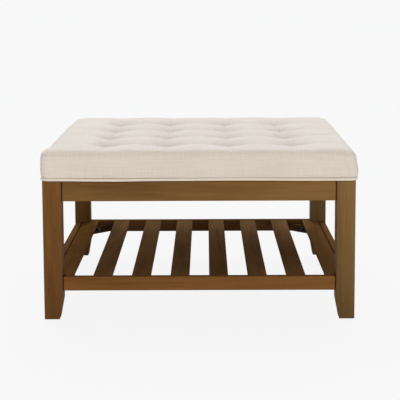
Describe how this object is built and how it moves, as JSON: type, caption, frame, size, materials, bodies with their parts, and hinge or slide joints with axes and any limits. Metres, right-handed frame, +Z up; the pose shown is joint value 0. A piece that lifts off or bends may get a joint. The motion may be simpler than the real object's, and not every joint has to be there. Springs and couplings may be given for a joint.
{
  "type": "ottoman coffee table",
  "caption": "Square coffee table ottoman: a button-free tufted linen cushion on a walnut-stained wooden frame with tapered feet and a slatted lower shelf.",
  "frame": {"origin": "on the floor, in the middle of the footprint", "axes": "+X to the right, +Y to the back, +Z up; the slats run along Y"},
  "size_m": [0.8184, 0.8184, 0.4445],
  "materials": {
    "frame_wood": "satin walnut stain",
    "slat_wood": "satin walnut stain",
    "block_wood": "dull dark stain",
    "beech": "raw beech",
    "plywood": "raw plywood",
    "linen": "plain woven linen blend",
    "foam": "open cell foam",
    "wadding": "polyester fibre",
    "dust_cloth": "black non-woven cloth",
    "twine": "waxed twine",
    "dark_steel": "black oxide",
    "bright_steel": "galvanised wire",
    "nylon": "dark nylon"
  },
  "bodies": {
    "root": {"apron_back": "frame_wood", "apron_block_back_left": "block_wood", "apron_block_back_right": "block_wood", "apron_block_front_left": "block_wood", "apron_block_front_right": "block_wood", "apron_front": "frame_wood", "apron_left": "frame_wood", "apron_right": "frame_wood", "block_screws": "dark_steel", "board_screws": "dark_steel", "bolt_nuts": "dark_steel", "bolt_washers": "dark_steel", "cushion_cover": "linen", "dowels": "beech", "dust_cover": "dust_cloth", "foam_pad": "foam", "foot_glides": "nylon", "hanger_bolts": "dark_steel", "leg_back_left": "frame_wood", "leg_back_right": "frame_wood", "leg_front_left": "frame_wood", "leg_front_right": "frame_wood", "shelf_block_back_left": "block_wood", "shelf_block_back_right": "block_wood", "shelf_block_front_left": "block_wood", "shelf_block_front_right": "block_wood", "shelf_rail_back": "frame_wood", "shelf_rail_front": "frame_wood", "shelf_rail_left": "frame_wood", "shelf_rail_right": "frame_wood", "shelf_slat_1": "slat_wood", "shelf_slat_2": "slat_wood", "shelf_slat_3": "slat_wood", "shelf_slat_4": "slat_wood", "shelf_slat_5": "slat_wood", "shelf_slat_6": "slat_wood", "shelf_slat_7": "slat_wood", "shelf_slat_8": "slat_wood", "staples": "bright_steel", "top_board": "plywood", "tuft_twines": "twine", "tuft_washers": "dark_steel", "wadding": "wadding", "welt": "linen"}
  },
  "joints": []
}
